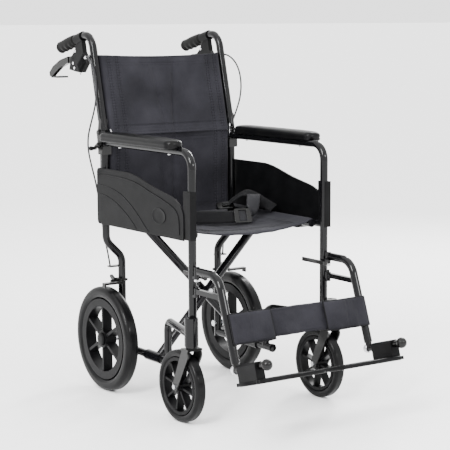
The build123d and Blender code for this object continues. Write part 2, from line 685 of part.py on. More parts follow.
# --- soft goods, as plain solids -------------------------------------------------------------
# sling seat over the two seat rails, sagging between them
SLING_TOP = ((207, 518.6), (184, 518.6), (120, 509), (60, 503.5), (0, 501.5))
SLING_THICK = 4.2
with BuildPart() as seat_sling:
    right_half = [(-x, z) for x, z in SLING_TOP]
    top_line = right_half + list(reversed(SLING_TOP))[1:]
    bottom_line = [(x, z - SLING_THICK) for x, z in reversed(top_line)]
    with BuildSketch(Plane.XZ.offset(156)) as section:
        with BuildLine():
            Polyline(*top_line, *bottom_line, close=True)
        make_face()
    extrude(section.sketch, amount=-400)
export(seat_sling, "seat_sling")

with BuildPart() as back_lower:
    block((-206, 206), (BACK_Y, BACK_Y + 4), (524, HINGE_Z - 4))
export(back_lower, "back_lower")


def before_cane(z, forward):
    """The (y, z) of a point that stands forward of the canes' centre line."""
    return REAR_Y + (z - HINGE_Z) * CANE_UP[0] / CANE_UP[1] - forward / CANE_UP[1], z


with BuildPart() as back_upper:
    side_plate(
        [
            before_cane(HINGE_Z + 2, 17),
            before_cane(BACK_TOP_Z, 17),
            before_cane(BACK_TOP_Z, 13),
            before_cane(HINGE_Z + 2, 13),
        ],
        -206,
        206,
    )
export(back_upper, "back_upper")

# padded strap across the front of both hangers, behind the calves
STRAP_ZS = (248.0, 324.0)
with BuildPart() as calf_strap:
    strap_section = []
    for z, forward in ((STRAP_ZS[0], 12.5), (STRAP_ZS[1], 12.5), (STRAP_ZS[1], 19.5), (STRAP_ZS[0], 19.5)):
        y_axis = HANGER_CORNER_Y + (HANGER_Z - z) * HANGER_DOWN[0] / -HANGER_DOWN[1]
        strap_section.append((y_axis - forward, z))
    side_plate(strap_section, -222, 222)
export(calf_strap, "calf_strap")

# lap belt lying loose on the seat: two straps and the buckle between them
BELT_Z = 520.0
with BuildPart() as lap_belt:
    for corners in (
        [(-172, 238), (-150, 240), (-30, 40), (-52, 30)],
        [(172, 238), (150, 240), (-10, 44), (4, 24)],
    ):
        with BuildSketch(Plane.XY.offset(BELT_Z)) as strap:
            with BuildLine():
                Polyline(*corners, close=True)
            make_face()
        extrude(strap.sketch, amount=2.5)
    block((-34, 6), (16, 52), (BELT_Z + 3, BELT_Z + 14))
export(lap_belt, "lap_belt")
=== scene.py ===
"""Looks for the folding transit wheelchair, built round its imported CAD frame, in metres."""
import json
import math

import bmesh
import bpy
import numpy as np
from mathutils import Matrix, Vector, noise


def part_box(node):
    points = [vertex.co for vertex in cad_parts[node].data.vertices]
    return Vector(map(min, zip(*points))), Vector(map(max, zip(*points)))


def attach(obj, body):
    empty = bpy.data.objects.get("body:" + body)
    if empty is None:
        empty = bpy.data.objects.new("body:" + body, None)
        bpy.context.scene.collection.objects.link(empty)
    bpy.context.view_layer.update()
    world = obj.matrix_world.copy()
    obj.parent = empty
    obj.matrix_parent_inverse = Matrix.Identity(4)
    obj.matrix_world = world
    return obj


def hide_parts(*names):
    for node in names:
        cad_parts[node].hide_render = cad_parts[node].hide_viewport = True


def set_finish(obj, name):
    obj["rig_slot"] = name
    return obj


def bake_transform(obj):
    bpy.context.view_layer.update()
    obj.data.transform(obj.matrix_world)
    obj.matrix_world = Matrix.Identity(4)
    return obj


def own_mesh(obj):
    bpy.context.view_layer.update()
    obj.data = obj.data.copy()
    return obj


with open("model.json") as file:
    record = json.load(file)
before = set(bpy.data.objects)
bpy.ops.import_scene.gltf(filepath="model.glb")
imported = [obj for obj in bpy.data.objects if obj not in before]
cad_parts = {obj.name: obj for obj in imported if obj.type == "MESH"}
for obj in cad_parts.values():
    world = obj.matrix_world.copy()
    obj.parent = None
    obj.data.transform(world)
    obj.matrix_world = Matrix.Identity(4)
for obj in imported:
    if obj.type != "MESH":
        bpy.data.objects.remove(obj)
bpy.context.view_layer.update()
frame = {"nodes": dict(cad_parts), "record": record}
nodes = frame["nodes"]
joint_at = {j["name"]: j["pos_m"] for j in frame["record"]["behaviour"]["joints"] if "pos_m" in j}
SIDES = (("right", -1), ("left", 1))

# --- camera, light and floor ---------------------------------------------------------------
CAMERA_AT = (-2.3304, -3.4262, 1.0653)
CAMERA_YAW, CAMERA_PITCH, CAMERA_ROLL = 34.35, 7.82, -0.25
CAMERA_LENS = 119.06
camera_data = bpy.data.cameras.new("camera")
camera_data.lens, camera_data.sensor_width = CAMERA_LENS, 36
camera_data.clip_end = 1200
camera = bpy.data.objects.new("camera", camera_data)
bpy.context.collection.objects.link(camera)
turn = Matrix.Rotation(math.radians(-CAMERA_YAW), 4, "Z")
turn = turn @ Matrix.Rotation(math.radians(90 - CAMERA_PITCH), 4, "X")
turn = turn @ Matrix.Rotation(math.radians(CAMERA_ROLL), 4, "Z")
camera.matrix_world = Matrix.Translation(CAMERA_AT) @ turn
bpy.context.scene.camera = camera


def area_light(name, at, aim, size, power):
    """A soft rectangular studio light."""
    data = bpy.data.lights.new(name, "AREA")
    data.shape, data.size, data.size_y, data.energy = "RECTANGLE", size[0], size[1], power
    lamp = bpy.data.objects.new(name, data)
    bpy.context.collection.objects.link(lamp)
    lamp.location = at
    lamp.rotation_euler = (Vector(aim) - Vector(at)).to_track_quat("-Z", "Y").to_euler()


area_light("key_light", (-2.4, -1.6, 2.6), (0, 0, 0.5), (0.28, 1.6), 120)
area_light("front_light", (0.8, -3.4, 1.9), (0, 0, 0.5), (1.6, 0.5), 60)
area_light("rim_light", (2.6, 1.6, 2.2), (0, 0, 0.6), (0.5, 1.8), 110)
SUNS = (("sky_soft", (-0.4, -0.5, 3.0), 1.7, 80), ("side_soft", (-2.0, -0.6, 1.4), 1.6, 25))
for name, aim_from, strength, spread in SUNS:
    sun = bpy.data.lights.new(name, "SUN")
    sun.energy, sun.angle = strength, math.radians(spread)
    lamp = bpy.data.objects.new(name, sun)
    bpy.context.collection.objects.link(lamp)
    lamp.rotation_euler = (-Vector(aim_from)).to_track_quat("-Z", "Y").to_euler()
WORLD_STRENGTH = 2.3
world = bpy.data.worlds.new("studio")
bpy.context.scene.world = world
world.use_nodes = True
world.node_tree.nodes["Background"].inputs[0].default_value = (1, 1, 1, 1)
world.node_tree.nodes["Background"].inputs[1].default_value = WORLD_STRENGTH


# --- materials ---------------------------------------------------------------------------------
class Paint:
    """A small helper round one procedural material."""

    def __init__(self, name, rough, metallic=0.0, coat=0.0, coat_rough=0.1, sheen=0.0, specular=0.07):
        self.mat = bpy.data.materials.new(name)
        self.mat.use_nodes = True
        self.tree = self.mat.node_tree
        self.shader = self.tree.nodes["Principled BSDF"]
        self.shader.inputs["Roughness"].default_value = rough
        self.shader.inputs["Metallic"].default_value = metallic
        self.shader.inputs["Coat Weight"].default_value = coat
        self.shader.inputs["Coat Roughness"].default_value = coat_rough
        self.shader.inputs["Sheen Weight"].default_value = sheen
        self.shader.inputs["Specular IOR Level"].default_value = specular
        self.coords = self.tree.nodes.new("ShaderNodeTexCoord").outputs["Object"]

    def node(self, kind, **values):
        made = self.tree.nodes.new(kind)
        for key, value in values.items():
            if key in made.inputs:
                made.inputs[key].default_value = value
            else:
                setattr(made, key, value)
        return made

    def link(self, a, b):
        self.tree.links.new(a, b)

    def noise(self, scale, detail=3, stretch=(1, 1, 1)):
        mapping = self.node("ShaderNodeMapping")
        mapping.inputs["Scale"].default_value = stretch
        self.link(self.coords, mapping.inputs["Vector"])
        made = self.node("ShaderNodeTexNoise", Scale=scale, Detail=detail)
        self.link(mapping.outputs[0], made.inputs["Vector"])
        return made.outputs["Fac"]

    def ramp(self, fac, low, high, start=0.3, end=0.7):
        made = self.node("ShaderNodeValToRGB")
        made.color_ramp.elements[0].position, made.color_ramp.elements[1].position = start, end
        made.color_ramp.elements[0].color = (*low, 1)
        made.color_ramp.elements[1].color = (*high, 1)
        self.link(fac, made.inputs[0])
        return made.outputs["Color"]

    def color(self, source):
        self.link(source, self.shader.inputs["Base Color"])

    def rough(self, fac, low, high):
        made = self.node("ShaderNodeMapRange")
        made.inputs["To Min"].default_value, made.inputs["To Max"].default_value = low, high
        self.link(fac, made.inputs["Value"])
        self.link(made.outputs[0], self.shader.inputs["Roughness"])

    def bump(self, height, strength, distance=0.001):
        made = self.node("ShaderNodeBump", Strength=strength, Distance=distance)
        self.link(height, made.inputs["Height"])
        self.link(made.outputs[0], self.shader.inputs["Normal"])

    def weave(self, pitch):
        """Waves along X and along Z, crossed, give a plain weave."""
        waves = []
        for axis in ("X", "Z"):
            made = self.node("ShaderNodeTexWave", Scale=1.0 / pitch / 3.2, Distortion=0.4)
            made.bands_direction = axis
            self.link(self.coords, made.inputs["Vector"])
            waves.append(made.outputs["Fac"])
        both = self.node("ShaderNodeMath", operation="MAXIMUM")
        self.link(waves[0], both.inputs[0])
        self.link(waves[1], both.inputs[1])
        return both.outputs[0]


def lacquer(name, low, high, rough=0.2):
    paint = Paint(name, rough, coat=0.30, coat_rough=0.035, specular=0.06)
    paint.color(paint.ramp(paint.noise(1800, 2), low, high, 0.4, 0.75))
    paint.rough(paint.noise(14, 4), rough - 0.05, rough + 0.1)
    paint.bump(paint.noise(160, 2), 0.05, 0.0004)
    return paint.mat


def moulded(name, low, high, rough, grain=900, strength=0.25, coat=0.0, sheen=0.0):
    paint = Paint(name, rough, coat=coat, sheen=sheen)
    paint.color(paint.ramp(paint.noise(22, 5), low, high))
    paint.rough(paint.noise(40, 3), rough - 0.05, rough + 0.08)
    paint.bump(paint.noise(grain, 3), strength, 0.0004)
    return paint.mat


def steel(name, tint=(0.62, 0.63, 0.65)):
    paint = Paint(name, 0.28, metallic=1.0, specular=0.5)
    darker = tuple(v * 0.78 for v in tint)
    paint.color(paint.ramp(paint.noise(60, 4, (1, 8, 1)), darker, tint))
    paint.rough(paint.noise(300, 2, (1, 14, 1)), 0.18, 0.38)
    paint.bump(paint.noise(700, 2, (1, 12, 1)), 0.08, 0.0002)
    return paint.mat


def cloth(name, low, high, pitch=0.0011, sheen=0.03, rough=0.6, wrinkle=0.5):
    paint = Paint(name, rough, sheen=sheen, specular=0.05)
    # painted shade and light of folds: a broad noise darkens and lightens the cloth's colour in soft patches, while
    # the weave's threads add the cloth's own fine pattern
    fold_shade_noise = paint.noise(9, 6)
    threads = paint.weave(pitch)
    shade = paint.node("ShaderNodeMath", operation="MULTIPLY_ADD")
    shade.inputs[1].default_value = 0.35
    paint.link(threads, shade.inputs[0])
    paint.link(fold_shade_noise, shade.inputs[2])
    paint.color(paint.ramp(shade.outputs[0], low, high, 0.35, 1.0))
    height = paint.node("ShaderNodeMath", operation="MULTIPLY_ADD")
    height.inputs[1].default_value = 0.12
    paint.link(threads, height.inputs[0])
    paint.link(paint.noise(34, 5), height.inputs[2])
    paint.bump(height.outputs[0], wrinkle, 0.0016)
    return paint.mat


def ribbed(name, low, high, pitch, direction, strength=0.9, rough=0.7):
    """Webbing or moulded ribs: regular bands across the piece."""
    paint = Paint(name, rough, sheen=0.02, specular=0.06)
    wave = paint.node("ShaderNodeTexWave", Scale=1.0 / pitch / 3.2)
    wave.bands_direction = direction
    paint.link(paint.coords, wave.inputs["Vector"])
    paint.color(paint.ramp(wave.outputs["Fac"], low, high, 0.2, 0.8))
    paint.bump(wave.outputs["Fac"], strength, 0.0006)
    return paint.mat


MAT = {
    "frame_tube": lacquer("frame_lacquer", (0.0012, 0.0012, 0.0014), (0.0055, 0.0056, 0.0064), 0.14),
    "brace_tube": lacquer("brace_lacquer", (0.0015, 0.0015, 0.002), (0.006, 0.006, 0.007), 0.14),
    "bright_steel": steel("zinc_steel"),
    "black_hardware": moulded("black_zinc", (0.002, 0.002, 0.002), (0.006, 0.006, 0.006), 0.3, 700, 0.15, 0.4),
    "rubber_grip": moulded("grip_rubber", (0.002, 0.002, 0.002), (0.005, 0.005, 0.005), 0.5, 1200, 0.35),
    "pad_foam": moulded("pad_foam", (0.0015, 0.0015, 0.002), (0.004, 0.004, 0.004), 0.34, 1500, 0.3, 0.06),
    "tyre_grey": moulded("tyre_rubber", (0.0012, 0.0012, 0.0014), (0.0036, 0.0036, 0.0039), 0.4, 500, 0.12, 0.1),
    "wheel_plastic": moulded("wheel_plastic", (0.0014, 0.0014, 0.0016), (0.0042, 0.0042, 0.0047), 0.36, 800, 0.15),
    "black_plastic": moulded("grained_plastic", (0.0014, 0.0014, 0.0016), (0.0036, 0.0036, 0.004), 0.42, 1100, 0.4),
    "gloss_plastic": moulded("gloss_plastic", (0.0015, 0.0015, 0.0015), (0.003, 0.003, 0.003), 0.14, 300, 0.03, 0.3),
    "nylon": cloth("back_nylon", (0.0026, 0.0026, 0.0036), (0.019, 0.0185, 0.023)),
    "seat_nylon": cloth("seat_nylon", (0.004, 0.004, 0.0055), (0.024, 0.024, 0.029)),
    "webbing": ribbed("belt_webbing", (0.0015, 0.0015, 0.0018), (0.010, 0.010, 0.011), 0.0016, "X"),
    "cable_jacket": moulded("cable_jacket", (0.010, 0.010, 0.011), (0.022, 0.022, 0.024), 0.3, 600, 0.1, 0.3),
}
thread = moulded("thread", (0.003, 0.003, 0.004), (0.010, 0.010, 0.012), 0.6, 2000, 0.3)
pale_web = ribbed("belt_grey", (0.006, 0.006, 0.007), (0.03, 0.03, 0.033), 0.0016, "X")
pale_steel = steel("bright_pin", (0.8, 0.8, 0.82))

SPECIAL = {"footrest_tube": "gloss_plastic", "brake_lever": "gloss_plastic"}
slot_of = {row["node"]: row["material_slot"] for row in frame["record"]["subparts"]}
for node_name, node_obj in nodes.items():
    bare = node_name.replace("right_", "").replace("left_", "")
    material = MAT[SPECIAL.get(bare, slot_of[node_name])]
    if not node_obj.material_slots:
        node_obj.data.materials.append(material)
    for place in node_obj.material_slots:
        place.link = "OBJECT"
        place.material = material


# --- mesh helpers --------------------------------------------------------------------------------
def new_object(name, verts, faces, material, slot, smooth=True):
    mesh = bpy.data.meshes.new(name)
    mesh.from_pydata([tuple(v) for v in verts], [], faces)
    mesh.validate()
    mesh.materials.append(material)
    if smooth:
        mesh.polygons.foreach_set("use_smooth", [True] * len(mesh.polygons))
    made = bpy.data.objects.new(name, mesh)
    bpy.context.collection.objects.link(made)
    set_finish(made, slot)
    return made


def smooth_path(points, count):
    """Evenly spaced points on a Catmull-Rom curve through the given ones."""
    pts = np.array(points, float)
    pts = np.vstack([2 * pts[0] - pts[1], pts, 2 * pts[-1] - pts[-2]])
    fine = []
    for a, b, c, d in zip(pts, pts[1:], pts[2:], pts[3:]):
        for t in np.linspace(0, 1, 24, endpoint=False):
            fine.append(0.5 * (2 * b + (c - a) * t + (2 * a - 5 * b + 4 * c - d) * t**2
                               + (3 * b - a - 3 * c + d) * t**3))
    fine.append(pts[-2])
    fine = np.array(fine)
    gone = np.concatenate([[0], np.cumsum(np.linalg.norm(np.diff(fine, axis=0), axis=1))])
    even = np.linspace(0, gone[-1], count)
    return np.stack([np.interp(even, gone, fine[:, k]) for k in range(fine.shape[1])], axis=1)


def thick_sheet(name, grid, thick, material, slot):
    """A closed sheet round a grid of points, thinner at its rim."""
    nu, nv = grid.shape[:2]
    du = np.gradient(grid, axis=0)
    dv = np.gradient(grid, axis=1)
    normal = np.cross(du, dv)
    normal /= np.maximum(np.linalg.norm(normal, axis=2), 1e-9)[:, :, None]
    profile = np.ones((nu, nv))
    profile[[0, -1], :] = 0.55
    profile[:, [0, -1]] = 0.55
    half = (np.asarray(thick) * profile)[:, :, None] / 2
    verts = np.concatenate([(grid + normal * half).reshape(-1, 3), (grid - normal * half).reshape(-1, 3)])
    faces, other = [], nu * nv
    for i in range(nu - 1):
        for j in range(nv - 1):
            a, b, c, d = i * nv + j, (i + 1) * nv + j, (i + 1) * nv + j + 1, i * nv + j + 1
            faces += [(a, b, c, d), (other + d, other + c, other + b, other + a)]
    rim = [i * nv for i in range(nu)] + [(nu - 1) * nv + j for j in range(1, nv)]
    rim += [i * nv + nv - 1 for i in range(nu - 2, -1, -1)] + [j for j in range(nv - 2, 0, -1)]
    for a, b in zip(rim, rim[1:] + rim[:1]):
        faces.append((b, a, other + a, other + b))
    return new_object(name, verts, faces, material, slot)


def tube(name, path, radius, material, slot, sides=10):
    """A round bar along a list of points, with one radius or a radius for each point."""
    pts = [Vector(p) for p in path]
    verts, faces = [], []
    side = None
    for i, p in enumerate(pts):
        ahead = (pts[min(i + 1, len(pts) - 1)] - pts[max(i - 1, 0)]).normalized()
        if side is None:
            side = ahead.orthogonal().normalized()
        side = (side - ahead * side.dot(ahead)).normalized()
        up = ahead.cross(side)
        r = radius if np.isscalar(radius) else radius[i]
        verts += [p + (side * math.cos(a) + up * math.sin(a)) * r
                  for a in (2 * math.pi * k / sides for k in range(sides))]
    for i in range(len(pts) - 1):
        for k in range(sides):
            a, b = i * sides + k, i * sides + (k + 1) % sides
            faces.append((a, b, b + sides, a + sides))
    faces.append(tuple(range(sides - 1, -1, -1)))
    faces.append(tuple((len(pts) - 1) * sides + k for k in range(sides)))
    return new_object(name, verts, faces, material, slot)


def stitches(name, lines, step=0.0046, length=0.003, radius=0.00042):
    """Rows of short raised threads along each line of (point, outward normal) pairs."""
    verts, faces = [], []
    for line in lines:
        pts = np.array([p for p, n in line])
        out = np.array([n for p, n in line])
        gone = np.concatenate([[0], np.cumsum(np.linalg.norm(np.diff(pts, axis=0), axis=1))])
        for start in np.arange(0.001, gone[-1] - length, step):
            a, b = (np.array([np.interp(s, gone, pts[:, k]) for k in range(3)]) for s in (start, start + length))
            n = np.array([np.interp(start, gone, out[:, k]) for k in range(3)])
            n /= np.linalg.norm(n)
            along = (b - a) / np.linalg.norm(b - a)
            across = np.cross(along, n)
            mid = (a + b) / 2 + n * radius * 1.3
            base = len(verts)
            verts += [a, b, mid + across * radius * 1.4, mid - across * radius * 1.4, mid + n * radius,
                      (a + b) / 2 - n * radius]
            for trio in ((0, 2, 4), (2, 1, 4), (1, 3, 4), (3, 0, 4), (0, 5, 2), (2, 5, 1), (1, 5, 3), (3, 5, 0)):
                faces.append(tuple(base + k for k in trio))
    return new_object(name, verts, faces, thread, "webbing", smooth=False)


def wrinkle(x, z, seed, size=1.0):
    """Soft irregular creases, in metres."""
    broad = noise.fractal(Vector((x * 9 + seed, z * 11, seed)), 1.0, 2.0, 3)
    fine = noise.fractal(Vector((x * 34 + seed, z * 26, seed * 2)), 1.0, 2.0, 3)
    return size * (0.0024 * broad + 0.0008 * fine)


# --- back upholstery ---------------------------------------------------------------------------
POST_X = 0.219
POST_Y = 0.270
TILT = math.radians(13.66)
HINGE_Z = joint_at["back_fold"][2]
SEAM_XS = (0.150, 0.158, 0.178, 0.186)


def back_grid(z_low, z_high, tilted, seed, cols=290, rows=112):
    """The back panel's mid surface: it lies ahead of the canes and wraps round behind them."""
    half = [(0.2262, -0.0146), (0.2185, -0.0158), (0.2095, -0.0135), (0.2052, -0.0062), (0.2038, 0.002),
            (0.200, 0.0085), (0.192, 0.0115), (0.160, 0.0118), (0.110, 0.0100), (0.055, 0.0082)]
    line = [(-x, n) for x, n in half] + [(0.0, 0.0078)] + [(x, n) for x, n in reversed(half)]
    section = smooth_path(line, cols)
    grid = np.zeros((cols, rows, 3))
    for j, t in enumerate(np.linspace(0, 1, rows)):
        z = z_low + (z_high - z_low) * t
        for i, (x, n) in enumerate(section):
            inner = max(0.0, 1 - (abs(x) / 0.19) ** 2)
            lift = n + inner * (wrinkle(x, z, seed) + 0.0022 * math.sin(t * math.pi) * -1)
            crease = math.exp(-((x - 0.012 - 0.03 * t * (seed > 2)) / 0.008) ** 2)
            crease += 0.6 * math.exp(-((x + 0.016 + 0.02 * t) / 0.007) ** 2)
            lift -= inner * 0.0060 * crease * (0.4 + 0.6 * math.sin(t * 3.0 + 0.4))
            for seam_x in SEAM_XS:
                lift -= 0.0019 * math.exp(-((abs(x) - seam_x) / 0.0022) ** 2)
                lift += 0.0007 * math.sin(z * 800) * math.exp(-((abs(x) - seam_x) / 0.006) ** 2)
            for seam_z in (z_low + 0.006, z_low + 0.024, z_high - 0.006, z_high - 0.024):
                lift -= 0.0019 * inner * math.exp(-((z - seam_z) / 0.0024) ** 2)
            lift += 0.0034 * inner * math.sin(17 * x + 23 * z + 2 * seed) * math.sin(31 * z + 5 * x)
            if tilted:
                lift += 0.0045 * max(0.0, 1 - t / 0.07) * max(0.0, 1 - abs(x) / 0.196)**0.3
            top_dip = -0.007 * (1 - (x / 0.23) ** 2) * max(0.0, (t - 0.75) / 0.25) if tilted else 0.0
            if tilted:
                along = z - HINGE_Z + top_dip
                y = POST_Y + along * math.tan(TILT) - lift / math.cos(TILT)
                grid[i, j] = (x, y, HINGE_Z + along)
            else:
                tuck = min(1.0, max(0.0, (0.188 - abs(x)) / 0.02))
                grid[i, j] = (x, POST_Y - lift, z - 0.018 * tuck * max(0.0, 1 - t / 0.2))
    return grid


def hem_thickness(grid, base=0.0024, extra=0.0016, rows=5):
    """Thickness over the grid, changed by extra along its first and last rows."""
    nu, nv = grid.shape[:2]
    thick = np.full((nu, nv), base)
    thick[:, :rows] += extra
    thick[:, -rows:] += extra
    return thick


def grid_line(grid, fixed, along_u, lift=0.0022):
    """A line of (point, normal) on the front of a sheet, at a fixed index of the other direction."""
    pts = grid[:, fixed] if along_u else grid[fixed, :]
    du = np.gradient(grid, axis=0)
    dv = np.gradient(grid, axis=1)
    normal = np.cross(du, dv)
    normal /= np.linalg.norm(normal, axis=2)[:, :, None]
    n = normal[:, fixed] if along_u else normal[fixed, :]
    n = n * (1 if n[len(n) // 2][1] < 0 else -1)
    return [(p + m * lift * 0.6, m) for p, m in zip(pts, n)]


def squashed(piece, body):
    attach(piece, body)
    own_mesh(piece)


upper = back_grid(HINGE_Z - 0.009, 0.9705, True, 3.1)
lower = back_grid(0.505, HINGE_Z + 0.0002, False, 1.7)
for name, grid, node, body in (("back_upper_panel", upper, "back_upper", "right_cane"),
                               ("back_lower_panel", lower, "back_lower", "right_frame")):
    panel = thick_sheet(name, grid, hem_thickness(grid), MAT["nylon"], "nylon")
    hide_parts(node)
    squashed(panel, body)
    columns = [int(np.argmin(np.abs(grid[:, 20, 0] - e * x))) for x in SEAM_XS for e in (-1, 1)]
    rows = [4, 14, grid.shape[1] - 15, grid.shape[1] - 5]
    lines = [grid_line(grid, c, False) for c in columns] + [grid_line(grid, r, True)[36:-36] for r in rows]
    seam = stitches(name + "_stitching", lines)
    squashed(seam, body)

# --- seat ----------------------------------------------------------------------------------------
RAIL_X, RAIL_Z, SLEEVE_R = 0.196, 0.503, 0.0131
seat_low, seat_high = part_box("seat_sling")
SEAT_COLS, SEAT_ROWS = 120, 84
arc = [(RAIL_X + SLEEVE_R * math.cos(math.radians(d)), RAIL_Z + SLEEVE_R * math.sin(math.radians(d)))
       for d in (38, 66, 94, 120)]
half = arc + [(0.176, 0.5085), (0.150, 0.5060), (0.100, 0.5022), (0.050, 0.4998)]
seat_line = [(-x, z) for x, z in half] + [(0.0, 0.4990)] + [(x, z) for x, z in reversed(half)]
section = smooth_path(seat_line, SEAT_COLS)
seat_grid = np.zeros((SEAT_COLS, SEAT_ROWS, 3))
for j, t in enumerate(np.linspace(0, 1, SEAT_ROWS)):
    y = seat_low[1] + (seat_high[1] - seat_low[1]) * t
    for i, (x, z) in enumerate(section):
        middle = max(0.0, 1 - (abs(x) / 0.18) ** 2)
        front = max(0.0, 1 - t / 0.07)
        sag = -0.006 * middle * (0.3 + math.sin(math.pi * t)) + wrinkle(x, y, 5.3, 1.4) * middle
        sag -= 0.009 * front**2 * (0.25 + 0.75 * middle)
        bow = 0.004 * middle * front
        seat_grid[i, j] = (x, y + bow, z + sag)
seat = thick_sheet("seat_fabric", seat_grid, hem_thickness(seat_grid, 0.0030, 0.0012),
                   MAT["seat_nylon"], "seat_nylon")
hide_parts("seat_sling")


def seat_blend(piece):
    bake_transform(piece)


def seat_up_line(fixed, along_u):
    pts = seat_grid[:, fixed] if along_u else seat_grid[fixed, :]
    return [(p + np.array([0, 0, 0.0021]), np.array([0, 0, 1.0])) for p in pts]


seat_lines = [seat_up_line(c, False) for c in (18, 21, SEAT_COLS - 22, SEAT_COLS - 19)]
seat_lines += [seat_up_line(r, True)[16:-16] for r in (5, 8, SEAT_ROWS - 7)]
seat_seam = stitches("seat_stitching", seat_lines)
seat_blend(seat)
seat_blend(seat_seam)


# --- lap belt --------------------------------------------------------------------------------------
def ribbon(name, path, width, material, slot, across=None, thick=0.0018, cols=7):
    """Flat webbing along a path. Its width lies level and square to the path, or as the path's rows say."""
    line = smooth_path(path, 90)
    ahead = np.gradient(line[:, :3], axis=0)
    grid = np.zeros((90, cols, 3))
    for i, row in enumerate(line):
        if across is not None:
            direction = np.array(across, float)
        elif len(row) == 6:
            direction = row[3:] - ahead[i] * row[3:].dot(ahead[i]) / ahead[i].dot(ahead[i])
        else:
            direction = np.cross(ahead[i], (0, 0, 1))
        direction /= np.linalg.norm(direction)
        for j, s in enumerate(np.linspace(-0.5, 0.5, cols)):
            grid[i, j] = row[:3] + direction * width * s
    return thick_sheet(name, grid, np.full(grid.shape[:2], thick), material, slot)


right_belt = ribbon("belt_right_strap",
                    [(-0.196, 0.150, 0.5185, 0.6, 0.8, 0.0), (-0.165, 0.118, 0.5205, 0.4, 0.8, 0.35),
                     (-0.110, 0.078, 0.5205, 0.1, 0.6, 0.75), (-0.055, 0.045, 0.5175, 0.1, 0.5, 0.85),
                     (0.000, 0.018, 0.5160, 0.1, 0.5, 0.85), (0.044, 0.000, 0.5165, 0.15, 0.55, 0.80)],
                    0.038, MAT["webbing"], "webbing")
right_fold = ribbon("belt_right_fold",
                    [(-0.175, 0.180, 0.5205, 0.7, 0.7, 0.1), (-0.125, 0.130, 0.5165, 0.3, 0.75, 0.4),
                     (-0.060, 0.085, 0.5150, 0.1, 0.7, 0.6), (-0.005, 0.050, 0.5160, 0.1, 0.5, 0.8),
                     (0.036, 0.022, 0.5190, 0.1, 0.5, 0.85)],
                    0.038, pale_web, "webbing")
middle_belt = ribbon("belt_middle",
                     [(0.046, -0.002, 0.5175, 0.15, 0.55, 0.80), (0.066, -0.010, 0.5180, 0.15, 0.55, 0.80),
                      (0.088, -0.014, 0.5195, 0.15, 0.55, 0.80)],
                     0.034, pale_web, "webbing")
belt_loop = ribbon("belt_loop",
                   [(0.084, -0.006, 0.5130, 0.6, 0.5, 0.5), (0.108, 0.004, 0.5360, 0.7, 0.1, 0.2),
                    (0.124, 0.020, 0.5620, 0.8, -0.3, 0.1), (0.139, 0.040, 0.5700, 0.8, -0.5, 0.0),
                    (0.154, 0.058, 0.5520, 0.8, -0.5, -0.1), (0.162, 0.078, 0.5290, 0.8, -0.4, 0.0),
                    (0.166, 0.120, 0.5215, 0.9, -0.2, 0.0), (0.174, 0.180, 0.5215, 1.0, 0.0, 0.0),
                    (0.176, 0.238, 0.5225, 1.0, 0.0, 0.0)],
                   0.038, pale_web, "webbing")
belt_tail = ribbon("belt_tail",
                   [(0.112, 0.150, 0.5230, 0.5, 0.6, 0.4), (0.130, 0.128, 0.5480, 0.6, 0.4, 0.5),
                    (0.150, 0.100, 0.5680, 0.7, 0.4, 0.5), (0.168, 0.072, 0.5600, 0.5, 0.6, 0.6),
                    (0.181, 0.040, 0.5400, 0.3, 0.5, 0.8), (0.189, 0.012, 0.5290, 0.6, 0.3, 0.6)],
                   0.030, MAT["webbing"], "webbing")


def rounded_plate(name, mid, size, corner, x_dir, normal, material, slot, hole=None, bevel=0.0012):
    """A small moulded plate with rounded corners and soft edges, with an optional slot in it."""
    bm = bmesh.new()
    lx, ly, lz = size
    outline = []
    for cx, cy, a0 in ((lx / 2 - corner, ly / 2 - corner, 0), (-lx / 2 + corner, ly / 2 - corner, 90),
                       (-lx / 2 + corner, -ly / 2 + corner, 180), (lx / 2 - corner, -ly / 2 + corner, 270)):
        outline += [(cx + corner * math.cos(math.radians(a0 + s)), cy + corner * math.sin(math.radians(a0 + s)))
                    for s in (0, 30, 60, 90)]
    ring_out = [bm.verts.new((x, y, -lz / 2)) for x, y in outline]
    if hole is None:
        faces = [bm.faces.new(ring_out)]
    else:
        hx, hy = hole[0] / 2, hole[1] / 2
        ring_in = [bm.verts.new((max(-hx, min(hx, x)), max(-hy, min(hy, y)), -lz / 2)) for x, y in outline]
        faces = []
        for k in range(len(outline)):
            n = (k + 1) % len(outline)
            faces.append(bm.faces.new([ring_out[k], ring_out[n], ring_in[n], ring_in[k]]))
    grown = bmesh.ops.extrude_face_region(bm, geom=faces)
    bmesh.ops.translate(bm, vec=(0, 0, lz), verts=[g for g in grown["geom"] if isinstance(g, bmesh.types.BMVert)])
    bmesh.ops.remove_doubles(bm, verts=bm.verts, dist=1e-6)
    bmesh.ops.recalc_face_normals(bm, faces=bm.faces)
    mesh = bpy.data.meshes.new(name)
    bm.to_mesh(mesh)
    bm.free()
    mesh.materials.append(material)
    made = bpy.data.objects.new(name, mesh)
    bpy.context.collection.objects.link(made)
    soften = made.modifiers.new("soft_edges", "BEVEL")
    soften.width, soften.segments, soften.limit_method = bevel, 2, "ANGLE"
    n = Vector(normal).normalized()
    x = Vector(x_dir)
    x = (x - n * x.dot(n)).normalized()
    mesh.transform(Matrix.Translation(mid) @ Matrix((x, n.cross(x), n)).transposed().to_4x4())
    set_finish(made, slot)
    return made


